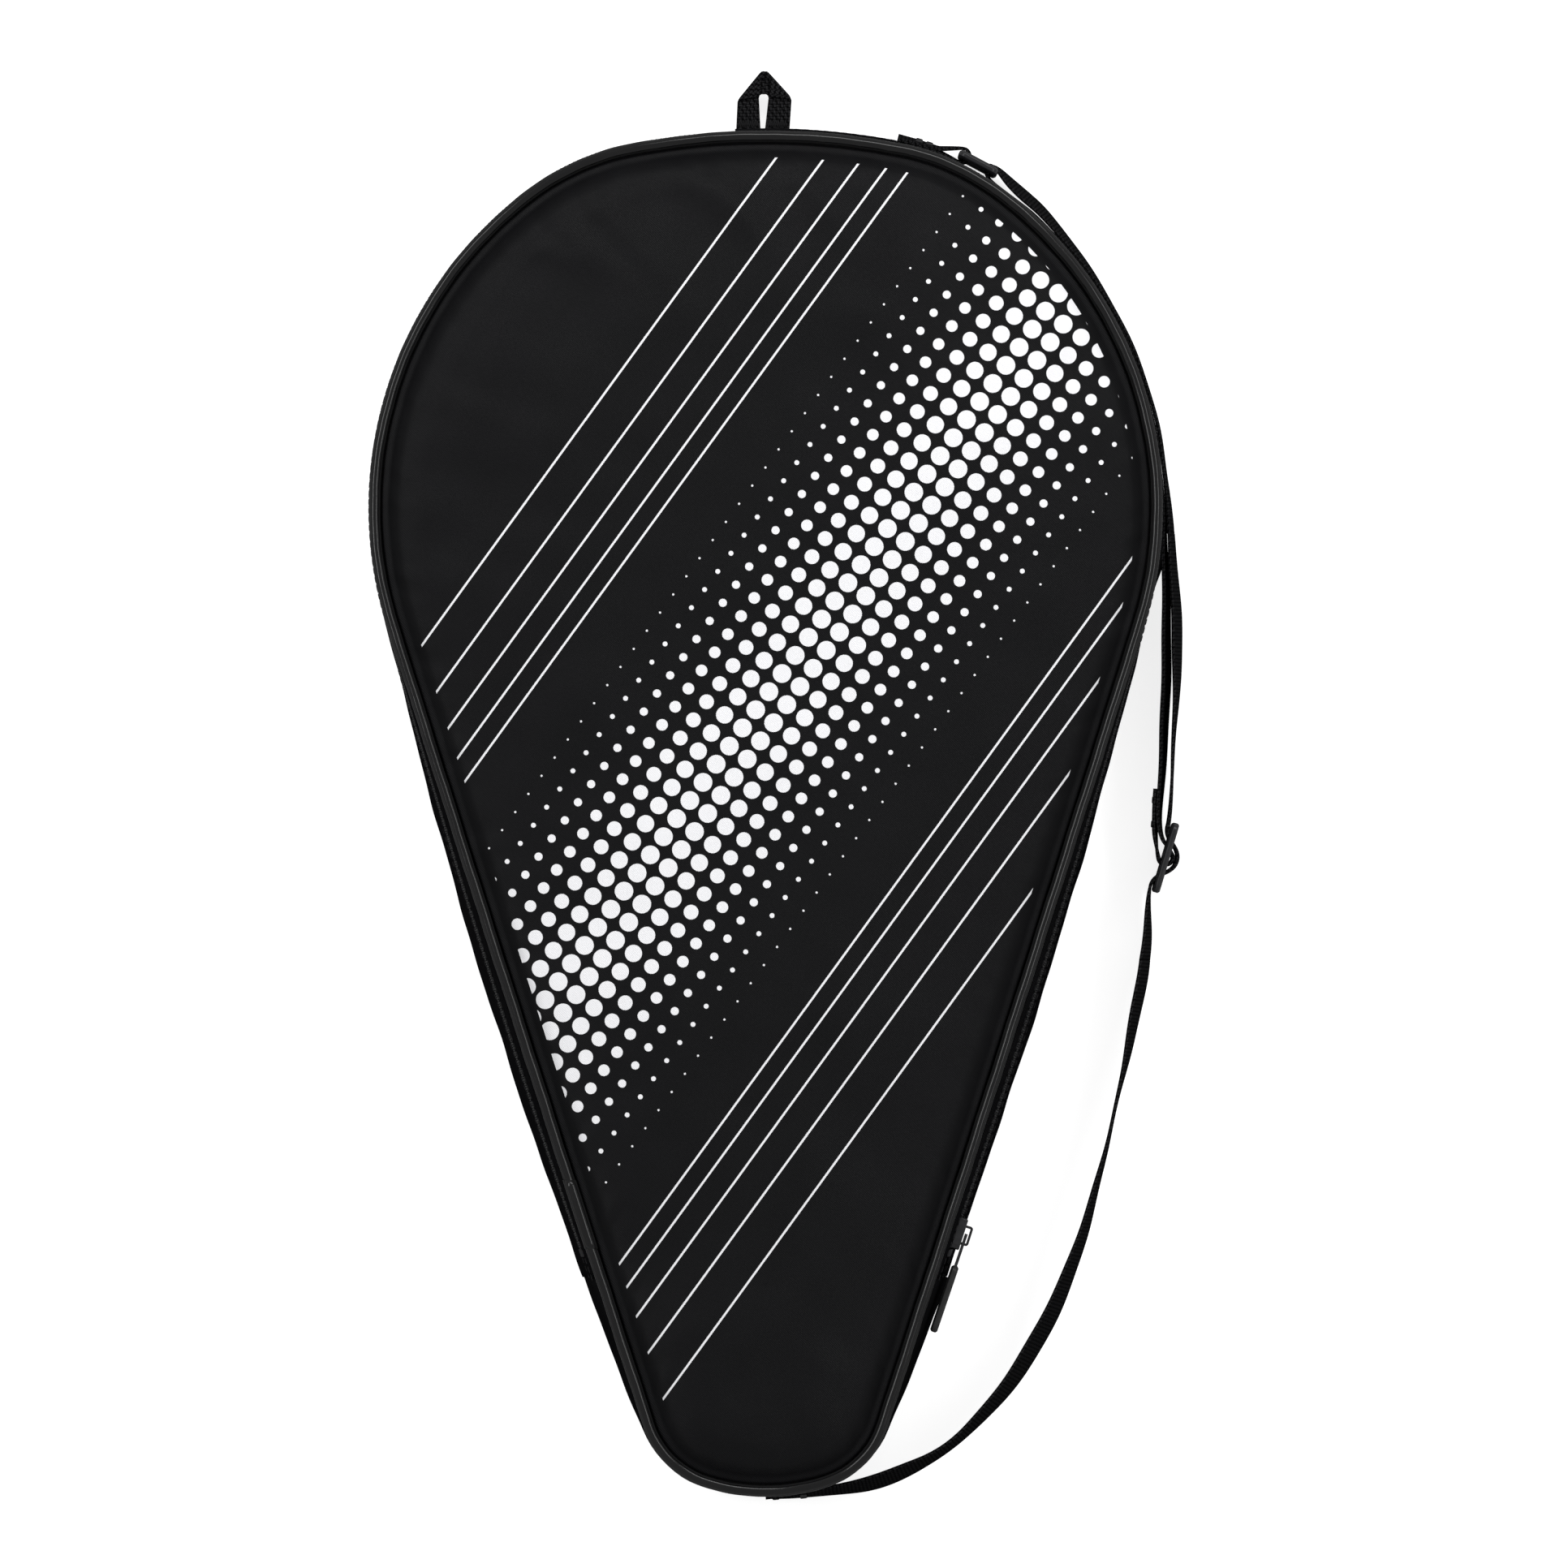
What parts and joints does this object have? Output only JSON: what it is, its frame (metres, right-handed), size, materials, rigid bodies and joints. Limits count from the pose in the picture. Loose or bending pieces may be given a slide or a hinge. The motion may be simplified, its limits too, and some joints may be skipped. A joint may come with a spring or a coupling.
{
  "type": "padded racket paddle cover",
  "caption": "Teardrop padded cover for a racket paddle, with a zipped front flap, a hang loop, and an adjustable webbing shoulder strap on a ring and a tri-glide.",
  "frame": {"origin": "on the rest face under the middle of the cover's length, on its centre line", "axes": "+X to the cover's right seen from the front, +Y from the toe to the crown, +Z out of the front panel"},
  "size_m": [0.291, 0.514, 0.0548],
  "materials": {
    "shell_cloth": "fine black nylon twill, matt with a faint sheen",
    "foam": "soft closed-cell padding, hidden",
    "lining": "plain dark grey woven lining",
    "piping_vinyl": "black vinyl over a cord, glossy and finely ribbed",
    "tape": "black woven tape",
    "zipper_teeth": "black nylon coil",
    "webbing": "black ribbed webbing",
    "thread": "black bonded thread",
    "slider_metal": "black enamelled zinc",
    "pull_rubber": "moulded black rubber",
    "fitting_plastic": "moulded black acetal, semi-gloss"
  },
  "bodies": {
    "case": {"back_skin": "shell_cloth", "back_foam": "foam", "back_lining": "lining", "back_piping": "piping_vinyl", "piping_join_sleeve": "piping_vinyl", "pocket_piping": "piping_vinyl", "gusset_band": "shell_cloth", "toe_gusset": "shell_cloth", "pocket_strips": "shell_cloth", "gusset_facing": "shell_cloth", "back_binding": "tape", "pocket_binding": "tape", "pocket_skin": "shell_cloth", "pocket_foam": "foam", "pocket_lining": "lining", "zipper_tape_back": "tape", "pocket_zipper_tapes": "tape", "zipper_coil_back": "zipper_teeth", "pocket_zipper_coils": "zipper_teeth", "zipper_stops": "zipper_teeth", "ring_tab": "webbing", "ring_tab_bartacks": "thread", "hang_loop": "webbing", "hang_loop_bartacks": "thread", "shoulder_strap": "webbing", "toe_bartacks": "thread"},
    "front_flap": {"front_skin": "shell_cloth", "front_foam": "foam", "front_lining": "lining", "front_piping": "piping_vinyl", "front_strip": "shell_cloth", "front_binding": "tape", "zipper_tape_front": "tape", "zipper_coil_front": "zipper_teeth"},
    "zipper_slider": {"slider_body": "slider_metal"},
    "zipper_pull": {"pull_tab": "slider_metal", "pull_grip": "pull_rubber"},
    "strap_ring": {"strap_ring": "fitting_plastic"},
    "triglide": {"triglide": "fitting_plastic", "strap_end_bartacks": "thread"}
  },
  "joints": [
    {"name": "flap_fold", "type": "hinge", "parent": "case", "child": "front_flap", "pos_m": [0, -0.129, 0.0548], "axis": [1, 0, 0], "range_deg": [0, 135]},
    {"name": "zipper_slide", "type": "slide", "parent": "case", "child": "zipper_slider", "axis": [0.3057, 0.9521, 0], "range_m": [0, 0.15]},
    {"name": "pull_swing", "type": "hinge", "parent": "zipper_slider", "child": "zipper_pull", "pos_m": [0.07167, -0.15113, 0.038], "axis": [0, 0, 1], "range_deg": [0, 170]},
    {"name": "ring_swing", "type": "hinge", "parent": "case", "child": "strap_ring", "pos_m": [0.07065, 0.23629, 0.0165], "axis": [0, 0, 1], "range_deg": [0, 70], "deforming": ["shoulder_strap"]},
    {"name": "triglide_slide", "type": "slide", "parent": "case", "child": "triglide", "axis": [0.07, 0.9975, 0], "range_m": [-0.03, 0.04], "deforming": ["shoulder_strap"]}
  ]
}
